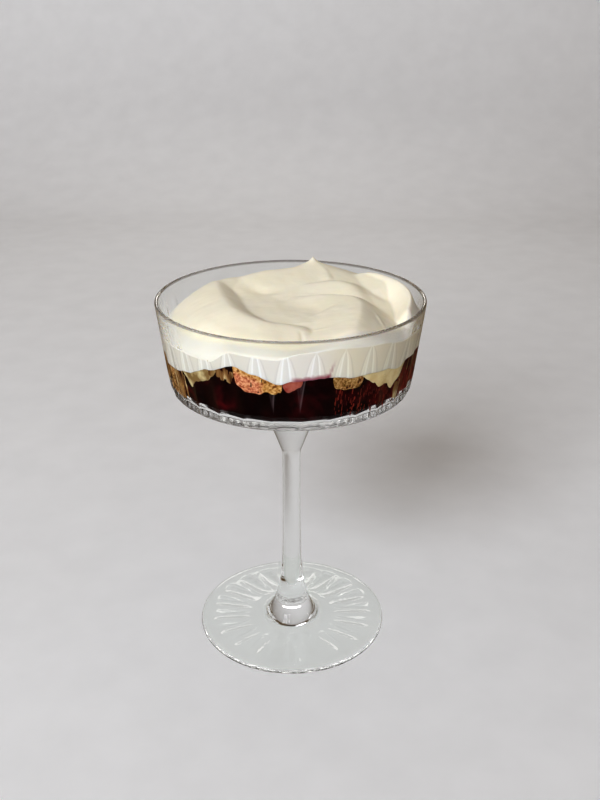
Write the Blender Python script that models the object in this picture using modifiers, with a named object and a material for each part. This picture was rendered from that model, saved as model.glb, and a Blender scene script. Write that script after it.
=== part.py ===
"""A trifle in a stemmed coupe of pressed clear glass: berry compote, sponge, custard and whipped cream.

The glass stands on z = 0 with its axis on Z, and -Y is the front. Lengths are in millimetres unless a name
ends in _M; MM turns them into Blender's metres. Azimuths are degrees from the front, positive towards +X.
The glass is a turned profile whose flutes and foot petals are then pressed into it. The food fills it as
beds on one polar grid: compote, a broken bed of custard, sponge and fruit, and the whipped cream.
"""
import math

import bpy
from mathutils import Vector

MM = 0.001
GAP = 0.3             # air between neighbouring pieces
MERGE_M = 0.00001     # merge distance, in metres
COLUMNS = 60          # steps round the axis of the glass and of the food
TURN = -1.5           # azimuth of the first column

# The glass's bowl.
RIM_HEIGHT = 146.5
RIM_RADIUS = 51.0
LIP_RADIUS = 0.7
HEEL_HEIGHT = 110.8   # where the wall's straight line would meet the underside
HEEL_RADIUS = 46.7
HEEL_FILLET = 4.0
FLOOR_HEIGHT = 113.6
WALL_FOOT = 116.8     # where the inner wall starts above the floor's fillet
WALL_FOOT_RADIUS = 44.2
FLOOR_EDGE = 41.6
FLOOR_FILLET = (2.0, 0.9)     # middle of the fillet, as (outward, upward) from the floor's edge
UNDERSIDE_START = (20.0, 109.8)     # where the underside starts to turn down into the cone
UNDERSIDE_CORNER = (15.0, 109.3)

# Its stem and foot.
STEM_RADIUS = 3.6
STEM_TOP = 78.6       # where the stem starts to widen into its cone
CONE_FOOT = (4.1, 82.2)      # the cone that joins it to the bowl, as (radius, height)
CONE_TOP = (10.5, 99.5)
FLARE_TOP = 46.0      # where the stem starts to widen into the foot
FLARE_SPREAD = 11.0   # how much wider than the stem the flare would be on the table
FLARE_LENGTH = 9.4    # height over which the flare dies away
FOOT_RADIUS = 39.5
FOOT_EDGE = 1.9       # thickness of the foot's rolled edge
FOOT_SWELL = 1.0      # how much thicker the foot is at FOOT_SWELL_START than at its edge
FOOT_SWELL_START = 10.0
FOOT_SWELL_LENGTH = 9.0
FLARE_BLEND = 0.35    # softness of the crease between the flare and the foot
FOOT_DISH = 0.9       # height of the underside's hollow
RING_RADIUS = 36.0    # inner edge of the flat ring that the glass stands on

# Lancet flutes, cut by a wheel that sinks deeper from their pointed tops to the heel.
FLUTES = 30
FLUTE_TOP = 141.5
FLUTE_DEEPEST = 117.0
FLUTE_DEPTH = 1.2
FLUTE_WHEEL = 12.0    # radius of the hollow across a flute

# Petals pressed into the top of the foot.
PETALS = 20
PETAL_AZIMUTH = 4.5
PETAL_INNER = 16.5
PETAL_OUTER = 36.0
PETAL_HALF_WIDTH = 3.4
PETAL_DEPTH = 0.5

# Where the beds of food meet the inside of the glass, as (azimuth, height).
CREAM_BRIM = ((-170, 137.5), (-120, 135.5), (-56, 136.0), (-35, 135.6), (-24, 140.6), (-6, 139.6),
              (5, 142.0), (18, 143.0), (38, 141.7), (55, 139.4), (90, 141.0), (135, 139.5))
CREAM_FOOT = ((-165, 130.0), (-140, 129.2), (-115, 131.0), (-85, 128.4), (-65, 125.6), (-51, 127.6),
              (-36, 132.0), (-23, 135.5), (-15, 133.2), (-4, 129.9), (1, 131.1), (8, 131.5), (16, 132.0),
              (28, 130.6), (45, 130.3), (53, 128.7), (60, 130.2), (85, 130.6), (120, 129.0), (155, 131.0))
COMPOTE_BRIM = ((-165, 126.0), (-130, 124.4), (-112, 126.0), (-85, 119.0), (-60, 118.4), (-49, 125.0),
                (-40, 124.6), (-22, 127.2), (-12, 125.8), (1, 125.8), (24, 127.4), (33, 126.6), (45, 125.2),
                (56, 124.2), (80, 126.4), (120, 124.6), (160, 126.6))

# Pieces of the broken bed that reach the glass, as first and last column; the custard also fills the middle.
SPONGES = {"sponge_front": (-4, 0), "sponge_right": (4, 6), "sponge_side": (13, 17), "sponge_back": (24, 29),
           "sponge_back_left": (-22, -17), "sponge_left": (-14, -9)}
FRUITS = {"fruit_piece": (0, 1)}
CUSTARD_ARMS = ((6, 10), (18, 22), (-29, -24), (-8, -6))
BED_RINGS = (0.22, 0.42, 0.60, 0.74, 0.87, 1.0)     # as shares of the way to the wall
SPONGE_RING = 2       # ring where the sponges start
FRUIT_RING = 3
BED_MIDDLE = (127.0, 131.5)                          # the broken bed's bottom and top on the axis
FEATHER = 1.6         # thickness left at a piece's free edge

# The whipped cream's top.
CREAM_RINGS = (0.13, 0.26, 0.38, 0.48, 0.56, 0.63, 0.70, 0.77, 0.84, 0.90, 0.95, 1.0)
# How far in from the glass its rounded shoulder reaches, and the floor of the valley that the spoon left.
SHOULDER_WIDTH = ((-170, 24.0), (-135, 22.0), (-105, 19.0), (-85, 18.0), (-68, 14.0), (-50, 10.0), (-30, 7.5),
                  (0, 6.0), (30, 5.0), (55, 4.0), (78, 4.0), (97, 6.0), (110, 8.5), (128, 12.0), (160, 20.0))
VALLEY_HEIGHT = 145.1
VALLEY_EDGE = 28.0    # radius from which the valley's floor falls towards the glass
VALLEY_FALL = 0.26
CREASE_SOFTNESS = 0.2
# Lobes of cream: slope on the left and on the right of the way, radius over which the crest is rounded, and
# the way of the crest (x, y, z).
LOBES = (
    (0.58, 0.45, 3.0, ((-30, 15, 148.0), (-28, 5, 148.2), (-26, -4, 148.3), (-23.5, -13.5, 148.3),
                       (-20, -21.5, 148.2), (-15.5, -27.5, 148.0), (-11, -31.5, 147.7), (-7, -33, 147.3),
                       (-2.5, -31.5, 146.4))),
    (0.60, 0.34, 3.0, ((-30, 15, 148.0), (-27, 17.5, 148.0), (-23.5, 19.5, 148.0), (-18.5, 21.5, 147.6))),
    (0.60, 0.40, 3.0, ((-16.5, 20.5, 148.4), (-10, 22, 149.5), (-3, 23, 150.2), (3.5, 25, 150.8),
                       (10, 28.5, 151.9))),
    (0.90, 0.34, 2.2, ((10, 28.5, 151.9), (12, 25.5, 151.2), (13.5, 21.0, 150.4), (14.5, 16, 149.4))),
    (0.50, 0.42, 2.6, ((-0.5, 7.5, 146.6), (6, 9.2, 147.9), (13, 10, 148.8), (19, 9.4, 149.2),
                       (23, 6.5, 148.8), (25, 2.5, 147.8))),
    (0.62, 0.22, 1.8, ((3, -0.5, 146.0), (10, -2.5, 147.2), (17, -4.0, 148.1), (22.5, -6.5, 148.5),
                       (25, -13, 148.7), (25, -22, 148.6), (24, -30, 148.2), (22, -38, 147.2))),
    (0.60, 0.34, 3.0, ((14, 19, 148.6), (19.5, 21.5, 147.6), (24, 21.5, 147.8))),
    (1.60, 0.36, 2.0, ((24, 22.5, 147.6), (29, 21.5, 149.0), (34, 18, 149.0), (37.5, 13, 148.6))),
    (1.00, 0.55, 2.6, ((27, 22.2, 148.4), (31, 20.5, 149.9), (35, 17, 150.1), (39.5, 11, 150.0),
                       (43, 4.0, 149.6), (44.4, -3.5, 149.0), (44.2, -10, 148.0), (43, -16, 146.6))),
)
PEAK = (10.0, 28.5)
PEAK_HEIGHT = 2.2
PEAK_WIDTH = 1.6


def along(stops, azimuth):
    """Value at an azimuth of a closed round of (azimuth, value) stops, eased from one stop to the next."""
    start = stops[0][0]
    azimuth = start + (azimuth - start) % 360.0
    closed = list(stops) + [(start + 360.0, stops[0][1])]
    for (a0, v0), (a1, v1) in zip(closed, closed[1:]):
        if azimuth <= a1:
            share = (azimuth - a0) / (a1 - a0)
            return v0 + (v1 - v0) * share * share * (3.0 - 2.0 * share)
    return stops[0][1]


def arc(centre, radius, first, last, steps):
    """Points of an arc between two angles in degrees, both ends kept."""
    angles = [math.radians(first + (last - first) * i / steps) for i in range(steps + 1)]
    return [(centre[0] + radius * math.cos(a), centre[1] + radius * math.sin(a)) for a in angles]


def bend(start, corner, end, steps):
    """Points of a quadratic curve that leaves and arrives along the corner's two sides, both ends kept."""
    points = []
    for i in range(steps + 1):
        share = i / steps
        weights = ((1 - share) ** 2, 2 * share * (1 - share), share ** 2)
        points.append(tuple(sum(w * p[axis] for w, p in zip(weights, (start, corner, end))) for axis in (0, 1)))
    return points


def outer_wall(z):
    """Radius of the bowl's outside, before the flutes."""
    slope = (RIM_RADIUS - HEEL_RADIUS) / (RIM_HEIGHT - LIP_RADIUS - HEEL_HEIGHT)
    return HEEL_RADIUS + slope * (z - HEEL_HEIGHT)


def inner_wall(z):
    """Radius of the bowl's inside above its fillet."""
    top_radius = RIM_RADIUS - 2.0 * LIP_RADIUS
    slope = (top_radius - WALL_FOOT_RADIUS) / (RIM_HEIGHT - LIP_RADIUS - WALL_FOOT)
    return WALL_FOOT_RADIUS + slope * (z - WALL_FOOT)


def flare_point(z):
    """Point of the stem's flare at a height: it widens exponentially towards the table."""
    return STEM_RADIUS + FLARE_SPREAD * math.exp(-z / FLARE_LENGTH), z


def foot_point(radius):
    """Point of the foot's top at a radius: the higher of the flare and of the foot's flat swelling."""
    on_flare = -FLARE_LENGTH * math.log((radius - STEM_RADIUS) / FLARE_SPREAD)
    on_foot = FOOT_EDGE + FOOT_SWELL * math.exp((FOOT_SWELL_START - radius) / FOOT_SWELL_LENGTH)
    return radius, on_foot + FLARE_BLEND * math.log1p(math.exp((on_flare - on_foot) / FLARE_BLEND))


def dish_point(radius):
    """Point of the underside inside its ring: a paraboloid that rises to the middle."""
    return radius, FOOT_DISH * (1.0 - (radius / RING_RADIUS) ** 2)


def glass_profile():
    """Half outline of the glass: over the floor, up inside, over the lip, down outside and under the foot."""
    fillet_middle = (FLOOR_EDGE + FLOOR_FILLET[0], FLOOR_HEIGHT + FLOOR_FILLET[1])
    inside = [(0.0, FLOOR_HEIGHT), (FLOOR_EDGE, FLOOR_HEIGHT), fillet_middle]
    inside += [(inner_wall(z), z) for z in (WALL_FOOT, 132.0)]
    lip_centre = (RIM_RADIUS - LIP_RADIUS, RIM_HEIGHT - LIP_RADIUS)
    lip = arc(lip_centre, LIP_RADIUS, 180.0, 0.0, 4)
    outside = [(outer_wall(z), z) for z in (FLUTE_TOP, 136.0, 129.0, 122.0)]
    heel_centre = (outer_wall(HEEL_HEIGHT + HEEL_FILLET) - HEEL_FILLET, HEEL_HEIGHT + HEEL_FILLET)
    heel = arc(heel_centre, HEEL_FILLET, -3.0, -90.0, 3)
    underside = bend(UNDERSIDE_START, UNDERSIDE_CORNER, CONE_TOP, 3)
    stem = [CONE_FOOT, (STEM_RADIUS, STEM_TOP), (STEM_RADIUS, FLARE_TOP)]
    flare = [flare_point(z) for z in (29.0, 20.0, 13.0, 8.5)]
    foot = [foot_point(radius) for radius in (8.6, 10.4, 12.6, 15.2, 18.5, 24.0, 29.0, 34.0)]
    edge = arc((FOOT_RADIUS - FOOT_EDGE / 2.0, FOOT_EDGE / 2.0), FOOT_EDGE / 2.0, 90.0, -90.0, 3)
    under_foot = [dish_point(radius) for radius in (RING_RADIUS, 24.0, 12.0, 0.0)]
    return inside + lip + outside + heel + underside + stem + flare + foot + edge + under_foot


def nearest_turn(azimuth, count, middle):
    """Degrees from an azimuth to the nearest of a count of even places, one of them at middle."""
    pitch = 360.0 / count
    return (azimuth - middle + pitch / 2.0) % pitch - pitch / 2.0


def pressed(point):
    """A point of the turned glass, moved in by the bowl's flutes or down by the foot's petals."""
    radius = math.hypot(point.x, point.y)
    if radius < 1.0:
        return point
    azimuth = math.degrees(math.atan2(point.x, -point.y))
    if HEEL_HEIGHT - 1.0 < point.z < FLUTE_TOP and radius > inner_wall(point.z) + 0.5:
        across = radius * math.radians(nearest_turn(azimuth, FLUTES, TURN))
        sunk = FLUTE_DEPTH * (FLUTE_TOP - point.z) / (FLUTE_TOP - FLUTE_DEEPEST)
        cut = outer_wall(point.z) - sunk + across * across / (2.0 * FLUTE_WHEEL)
        share = min(1.0, cut / radius)
        return Vector((point.x * share, point.y * share, point.z))
    if 2.0 < point.z < 4.0 and PETAL_INNER < radius < PETAL_OUTER:
        across = radius * math.radians(nearest_turn(azimuth, PETALS, PETAL_AZIMUTH))
        along_petal = math.sin(math.pi * (radius - PETAL_INNER) / (PETAL_OUTER - PETAL_INNER))
        sunk = PETAL_DEPTH * along_petal * max(0.0, 1.0 - (across / PETAL_HALF_WIDTH) ** 2)
        return Vector((point.x, point.y, point.z - sunk))
    return point


def material(name, colour, roughness, transmission=0.0):
    """Principled material in one colour, given as linear RGB."""
    made = bpy.data.materials.new(name)
    made.use_nodes = True
    shader = made.node_tree.nodes["Principled BSDF"]
    shader.inputs["Base Color"].default_value = (*colour, 1.0)
    shader.inputs["Roughness"].default_value = roughness
    shader.inputs["Metallic"].default_value = 0.0
    shader.inputs["Transmission Weight"].default_value = transmission
    made.diffuse_color = (*colour, 1.0)
    return made


def add_object(name, mesh, made, collection, sharp_degrees=40.0):
    """Object of a finished mesh, smooth but for its sharp edges."""
    mesh.name = name
    mesh.materials.clear()
    mesh.materials.append(made)
    mesh.shade_smooth()
    mesh.set_sharp_from_angle(angle=math.radians(sharp_degrees))
    piece = bpy.data.objects.new(name, mesh)
    collection.objects.link(piece)
    return piece


def make_glass(collection):
    """The glass: its profile turned about Z, then pressed."""
    outline = [(radius * MM, 0.0, z * MM) for radius, z in glass_profile()]
    mesh = bpy.data.meshes.new("outline")
    mesh.from_pydata(outline, [(i, i + 1) for i in range(len(outline) - 1)], [])
    turned = bpy.data.objects.new("outline", mesh)
    collection.objects.link(turned)
    turned.rotation_euler.z = math.radians(TURN)
    screw = turned.modifiers.new("Turn", "SCREW")
    screw.steps = COLUMNS
    screw.render_steps = COLUMNS
    screw.use_merge_vertices = True
    screw.merge_threshold = MERGE_M
    bpy.context.view_layer.update()
    finished = bpy.data.meshes.new_from_object(turned.evaluated_get(bpy.context.evaluated_depsgraph_get()))
    finished.transform(turned.matrix_world)
    bpy.data.objects.remove(turned)
    for vertex in finished.vertices:
        vertex.co = pressed(vertex.co / MM) * MM
    glass = material("pressed_clear_glass", (0.95, 0.96, 0.95), 0.02, 1.0)
    return add_object("glass", finished, glass, collection, 25.0)


def column_azimuth(column):
    """Azimuth of a column of the food's grid."""
    return TURN + 360.0 / COLUMNS * column


def place(radius, azimuth, z):
    """Point in metres at a radius, azimuth and height in millimetres and degrees."""
    angle = math.radians(azimuth)
    return (radius * math.sin(angle) * MM, -radius * math.cos(angle) * MM, z * MM)


def at_share(share, azimuth, z):
    """Point at a share of the way from the axis to the food's edge, just inside the glass."""
    return place(share * (inner_wall(z) - GAP), azimuth, z)


def wave(share, azimuth, phase):
    """Slow unevenness of a bed, of at most 1 mm, none on the axis."""
    turn = math.radians(azimuth)
    swell = math.sin(3.0 * turn + phase) + 0.6 * math.sin(5.0 * turn - 2.0 * phase)
    return 0.6 * swell * share * (1.0 - share) * 2.0


def bed_bottom(share, azimuth):
    """Underside of the broken bed, which is the compote's top."""
    edge = along(COMPOTE_BRIM, azimuth)
    return BED_MIDDLE[0] + (edge - BED_MIDDLE[0]) * share ** 3 + wave(share, azimuth, 0.4)


def bed_top(share, azimuth):
    """Top of the broken bed, which is the cream's underside."""
    edge = along(CREAM_FOOT, azimuth)
    return BED_MIDDLE[1] + (edge - BED_MIDDLE[1]) * share ** 2 + wave(share, azimuth, 1.9)


def piece_in_cell(column, ring):
    """Name of the piece in a cell of the broken bed; None where the cream lies on the compote."""
    column = (column + COLUMNS // 2) % COLUMNS - COLUMNS // 2
    for name, (first, last) in SPONGES.items():
        if first <= column < last and ring > SPONGE_RING:
            return name
    for name, (first, last) in FRUITS.items():
        if first <= column < last and ring > FRUIT_RING:
            return name
    in_arm = any(first <= column < last for first, last in CUSTARD_ARMS)
    return "custard" if ring <= SPONGE_RING or in_arm else None


def around(column, ring):
    """The four cells at a grid point as (step in column, step in ring, piece); past the glass is as within."""
    cells = []
    for step_column in (-1, 1):
        for step_ring in (-1, 1):
            cell_column = column + (step_column - 1) // 2
            cell_ring = min(ring + (1 + step_ring) // 2, len(BED_RINGS) - 1)
            cells.append((step_column, step_ring, piece_in_cell(cell_column, cell_ring)))
    return cells


def bed_heights(column, ring):
    """Bottom and top of the broken bed at a grid point, thinned to a feather at its free edges."""
    share = BED_RINGS[ring]
    azimuth = column_azimuth(column)
    bottom = bed_bottom(share, azimuth)
    top = bed_top(share, azimuth)
    pieces = [piece for _, _, piece in around(column, ring)]
    if not any(pieces):
        return top, top
    if not all(pieces):
        return max(bottom, top - FEATHER), top
    return bottom, top


def fan_and_rings(rings):
    """Triangles of a disc of rings round a centre, whose point is numbered 0, seen from above."""
    faces = []
    for column in range(COLUMNS):
        after = (column + 1) % COLUMNS
        faces.append((0, 1 + column, 1 + after))
        for ring in range(rings - 1):
            a = 1 + ring * COLUMNS + column
            b = 1 + ring * COLUMNS + after
            faces.append((a, a + COLUMNS, b + COLUMNS))
            faces.append((a, b + COLUMNS, b))
    return faces


def closed_stack(name, top, bottom, made, collection):
    """Solid between two discs of rings, each a centre point and a list of rings, joined round their edges."""
    points = [top[0]] + [p for ring in top[1] for p in ring]
    faces = fan_and_rings(len(top[1]))
    offset = len(points)
    points += [bottom[0]] + [p for ring in bottom[1] for p in ring]
    faces += [tuple(offset + i for i in reversed(face)) for face in fan_and_rings(len(bottom[1]))]
    top_edge = offset - COLUMNS
    bottom_edge = len(points) - COLUMNS
    for column in range(COLUMNS):
        after = (column + 1) % COLUMNS
        faces.append((top_edge + column, bottom_edge + column, bottom_edge + after))
        faces.append((top_edge + column, bottom_edge + after, top_edge + after))
    mesh = bpy.data.meshes.new(name)
    mesh.from_pydata(points, [], faces)
    return add_object(name, mesh, made, collection)


def bed_disc(side):
    """Centre and rings of the compote's top (side -1) or the cream's underside (side 1)."""
    pick = 0 if side < 0 else 1
    centre = (0.0, 0.0, (BED_MIDDLE[pick] + side * GAP / 2.0) * MM)
    rings = []
    for ring, share in enumerate(BED_RINGS):
        heights = [bed_heights(c, ring)[pick] + side * GAP / 2.0 for c in range(COLUMNS)]
        rings.append([at_share(share, column_azimuth(c), z) for c, z in enumerate(heights)])
    return centre, rings


def make_compote(collection):
    """Berry compote: from the glass's floor to the broken bed."""
    low = FLOOR_HEIGHT + GAP
    fillet_middle = (FLOOR_EDGE + FLOOR_FILLET[0] - GAP, low + FLOOR_FILLET[1])
    levels = ((FLOOR_EDGE - GAP, low), fillet_middle, (WALL_FOOT_RADIUS - GAP, WALL_FOOT))
    rings = [[place(radius, column_azimuth(c), z) for c in range(COLUMNS)] for radius, z in levels]
    made = material("berry_compote", (0.045, 0.002, 0.006), 0.15)
    return closed_stack("berry_compote", bed_disc(-1), ((0.0, 0.0, low * MM), rings), made, collection)


def lobe_height(x, y, left_slope, right_slope, rounding, way):
    """Height of one lobe of cream: a roof along its way, its crest rounded as a hyperbola."""
    best = (1e9, 0.0, 0.0)
    for (x0, y0, z0), (x1, y1, z1) in zip(way, way[1:]):
        run_x, run_y = x1 - x0, y1 - y0
        share = ((x - x0) * run_x + (y - y0) * run_y) / (run_x ** 2 + run_y ** 2)
        share = max(0.0, min(1.0, share))
        off_x = x - x0 - share * run_x
        off_y = y - y0 - share * run_y
        distance = math.hypot(off_x, off_y)
        if distance < best[0]:
            side = (run_x * off_y - run_y * off_x) / (math.hypot(run_x, run_y) * max(distance, 1e-6))
            best = (distance, side, z0 + share * (z1 - z0))
    distance, side, crest = best
    slope = right_slope + (left_slope - right_slope) * (0.5 + 0.5 * side)
    return crest - slope * (math.hypot(distance, rounding) - rounding)


def cream_height(share, azimuth):
    """Height of the cream's top. The lobes and the valley's floor meet in creases, as a soft maximum; the
    peak is an exponential cone on it; a quarter ellipse takes all down to the glass."""
    brim = along(CREAM_BRIM, azimuth)
    if share >= 1.0:
        return brim
    edge = inner_wall(brim) - GAP
    radius = share * edge
    x = radius * math.sin(math.radians(azimuth))
    y = -radius * math.cos(math.radians(azimuth))
    heights = [VALLEY_HEIGHT - VALLEY_FALL * max(0.0, radius - VALLEY_EDGE)]
    heights += [lobe_height(x, y, *values) for values in LOBES]
    top = max(heights)
    top += CREASE_SOFTNESS * math.log(sum(math.exp((h - top) / CREASE_SOFTNESS) for h in heights))
    top += PEAK_HEIGHT * math.exp(-math.hypot(x - PEAK[0], y - PEAK[1]) / PEAK_WIDTH)
    inward = min(1.0, (edge - radius) / along(SHOULDER_WIDTH, azimuth))
    return brim + (top - brim) * math.sqrt(1.0 - (1.0 - inward) ** 2)


def make_cream(collection):
    """Whipped cream: from the broken bed to its spooned top."""
    rings = []
    for share in CREAM_RINGS:
        ring = []
        for column in range(COLUMNS):
            azimuth = column_azimuth(column)
            brim = along(CREAM_BRIM, azimuth)
            radius = share * (inner_wall(brim) - GAP)
            ring.append(place(radius, azimuth, cream_height(share, azimuth)))
        rings.append(ring)
    top = ((0.0, 0.0, cream_height(0.0, 0.0) * MM), rings)
    made = material("whipped_cream", (0.91, 0.87, 0.75), 0.55)
    return closed_stack("whipped_cream", top, bed_disc(1), made, collection)


def make_bed_piece(name, made, collection):
    """A piece of the broken bed: its cells' tops and bottoms, walled where its neighbours are others."""
    rings = len(BED_RINGS)
    cells = [(c, r) for c in range(COLUMNS) for r in range(rings) if piece_in_cell(c, r) == name]
    index = {}
    points = []
    faces = []

    def corner(column, ring, pick):
        """Number of a grid point on the piece's bottom (pick 0) or top (pick 1); ring -1 is the axis."""
        key = (column % COLUMNS if ring >= 0 else 0, ring, pick)
        if key not in index:
            index[key] = len(points)
            inset = GAP / 2.0 if pick == 0 else -GAP / 2.0
            if ring < 0:
                points.append((0.0, 0.0, (BED_MIDDLE[pick] + inset) * MM))
            else:
                own = [(sc, sr) for sc, sr, piece in around(column, ring) if piece == name]
                lean_column = sum(sc for sc, _ in own)
                lean_ring = 0 if ring == rings - 1 else sum(sr for _, sr in own)
                z = bed_heights(column, ring)[pick] + inset
                radius = BED_RINGS[ring] * (inner_wall(z) - GAP)
                radius += GAP / 2.0 * (lean_ring > 0) - GAP / 2.0 * (lean_ring < 0)
                aside = math.degrees(GAP / 2.0 / radius)
                azimuth = column_azimuth(column) + aside * (lean_column > 0) - aside * (lean_column < 0)
                points.append(place(radius, azimuth, z))
        return index[key]

    def sheet(column, ring, pick):
        """The triangles of a cell's bottom or top, split as the beds above and below are."""
        a = corner(column, ring - 1, pick)
        b = corner(column + 1, ring - 1, pick)
        c = corner(column, ring, pick)
        d = corner(column + 1, ring, pick)
        found = [(a, c, d)] if ring == 0 else [(a, c, d), (a, d, b)]
        return found if pick == 1 else [tuple(reversed(face)) for face in found]

    def side(start, end):
        """A wall from one grid point to the next, the piece on its left as seen from above."""
        s0, s1 = corner(*start, 0), corner(*start, 1)
        e0, e1 = corner(*end, 0), corner(*end, 1)
        faces.extend([(s0, e0, e1), (s0, e1, s1)])

    for column, ring in cells:
        faces.extend(sheet(column, ring, 0) + sheet(column, ring, 1))
        if piece_in_cell(column - 1, ring) != name:
            side((column, ring - 1), (column, ring))
        if piece_in_cell(column + 1, ring) != name:
            side((column + 1, ring), (column + 1, ring - 1))
        if ring == rings - 1 or piece_in_cell(column, ring + 1) != name:
            side((column, ring), (column + 1, ring))
        if ring > 0 and piece_in_cell(column, ring - 1) != name:
            side((column + 1, ring - 1), (column, ring - 1))
    mesh = bpy.data.meshes.new(name)
    mesh.from_pydata(points, [], faces)
    return add_object(name, mesh, made, collection)


def main():
    for old in list(bpy.data.objects):
        bpy.data.objects.remove(old)
    trifle = bpy.data.collections.new("trifle")
    bpy.context.scene.collection.children.link(trifle)
    make_glass(trifle)
    make_compote(trifle)
    sponge = material("sponge_cake", (0.60, 0.33, 0.12), 0.85)
    for name in SPONGES:
        make_bed_piece(name, sponge, trifle)
    fruit = material("red_fruit", (0.55, 0.10, 0.05), 0.3)
    for name in FRUITS:
        make_bed_piece(name, fruit, trifle)
    make_bed_piece("custard", material("custard", (0.78, 0.65, 0.30), 0.4), trifle)
    make_cream(trifle)


main()
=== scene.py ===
import math

import bpy
import numpy as np
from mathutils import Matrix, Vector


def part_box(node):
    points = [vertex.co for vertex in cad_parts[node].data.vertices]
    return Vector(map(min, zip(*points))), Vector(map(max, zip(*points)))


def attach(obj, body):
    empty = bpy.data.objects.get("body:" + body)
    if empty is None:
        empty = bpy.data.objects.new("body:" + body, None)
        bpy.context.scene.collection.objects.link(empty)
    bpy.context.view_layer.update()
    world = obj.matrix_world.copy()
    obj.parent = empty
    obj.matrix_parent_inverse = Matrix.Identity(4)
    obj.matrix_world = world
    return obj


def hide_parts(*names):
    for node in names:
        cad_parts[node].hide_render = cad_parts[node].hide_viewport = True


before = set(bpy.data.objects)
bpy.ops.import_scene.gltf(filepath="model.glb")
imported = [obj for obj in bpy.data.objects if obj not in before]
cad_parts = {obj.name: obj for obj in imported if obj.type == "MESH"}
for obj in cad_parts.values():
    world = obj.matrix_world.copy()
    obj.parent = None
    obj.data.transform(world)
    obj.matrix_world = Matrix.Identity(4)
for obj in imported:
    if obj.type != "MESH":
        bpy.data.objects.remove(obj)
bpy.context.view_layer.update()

# A fruit trifle in a stemmed coupe of pressed glass. Lengths are millimetres, azimuths are degrees from the
# front (-Y), positive towards +X, and MM turns lengths into Blender's metres.
MM = 0.001

# The glass: its height comes from its solid's box, and the rest are the values that its solid is made from.
RIM_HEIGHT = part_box("glass")[1].z / MM
RIM_RADIUS = 51.0
LIP_RADIUS = 0.7
HEEL_HEIGHT = 110.8
HEEL_RADIUS = 46.7
HEEL_FILLET = 4.0
HEEL_SWELL = 0.4       # how far the rounded heel stands out past the wall's line
FLOOR_HEIGHT = 113.6
WALL_FOOT = 116.8
WALL_FOOT_RADIUS = 44.2
FLOOR_EDGE = 41.6
STEM_RADIUS = 3.6
CONE_TOP = (10.5, 99.5)    # the cone that joins the stem to the bowl, as (radius, height)
CONE_FOOT = (4.1, 82.2)
FOOT_RADIUS = 39.5
FOOT_EDGE = 1.9
FOOT_DISH = 0.9        # how far the middle of its underside stands off the table
RING_RADIUS = 36.0     # inner edge of the flat ring that it stands on
FLARE_TOP = 46.0
FLARE_SPREAD = 11.0    # how much wider than the stem its foot would be at the table
FLARE_LENGTH = 9.4     # height over which the flare dies away
FLUTES = 30
FLUTE_AZIMUTH = -1.5
FLUTE_TOP = 141.5
FLUTE_DEEPEST = 117.0
FLUTE_DEPTH = 1.2
FLUTE_END = 110.4      # heights between which the flutes run out into the heel
FLUTE_RUN_OUT = 112.8
FLUTE_WHEEL = 12.0
PETALS = 20
PETAL_AZIMUTH = 4.5
PETAL_INNER = 16.5
PETAL_OUTER = 36.0
PETAL_HALF_WIDTH = 3.4
PETAL_DEPTH = 0.5
GLASS_COLUMNS = 420    # fourteen to a flute

# How far the faces of the food go into the glass, so that no air shows between them.
COMPOTE_BITE = 0.10
CUSTARD_BITE = 0.16
SPONGE_BITE = 0.22
FRUIT_BITE = 0.26
SHRED_BITE = 0.18
FLECK_BITE = 0.13
FLOOR_GAP = 0.15
CREAM_BITE = 0.34

# The whipped cream: where its top leaves the glass, its foot, how far in its rounded shoulder reaches, and
# the floor of the valley that the spoon left, as (azimuth, value) stops and heights.
CREAM_BRIM = ((-170, 137.5), (-120, 136.0), (-56, 136.0), (-35, 135.6), (-24, 140.6), (-6, 139.6),
              (5, 142.0), (18, 143.0), (38, 141.7), (55, 139.4), (90, 141.0), (135, 139.5))
CREAM_FOOT = ((-165, 130.0), (-140, 129.2), (-115, 131.0), (-85, 128.4), (-65, 125.6), (-51, 127.6),
              (-36, 132.0), (-23, 135.5), (-15, 133.2), (-4, 129.9), (1, 131.1), (8, 131.5), (16, 132.0),
              (28, 130.6), (45, 130.3), (53, 128.7), (60, 130.2), (85, 130.6), (120, 129.0), (155, 131.0))
SHOULDER_WIDTH = ((-170, 24.0), (-135, 22.0), (-105, 19.0), (-85, 18.0), (-68, 14.0), (-50, 10.0), (-30, 7.5),
                  (0, 6.0), (30, 5.0), (55, 4.0), (78, 4.0), (97, 6.0), (110, 8.5), (128, 12.0), (160, 20.0))
VALLEY_HEIGHT = 145.1
VALLEY_EDGE = 28.0      # radius from which the valley's floor falls towards the glass
VALLEY_FALL = 0.26
CREASE_SOFTNESS = 0.2
NEARNESS = 0.5          # how much farther than the nearest a run of a way may be and still count, in mm
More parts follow.
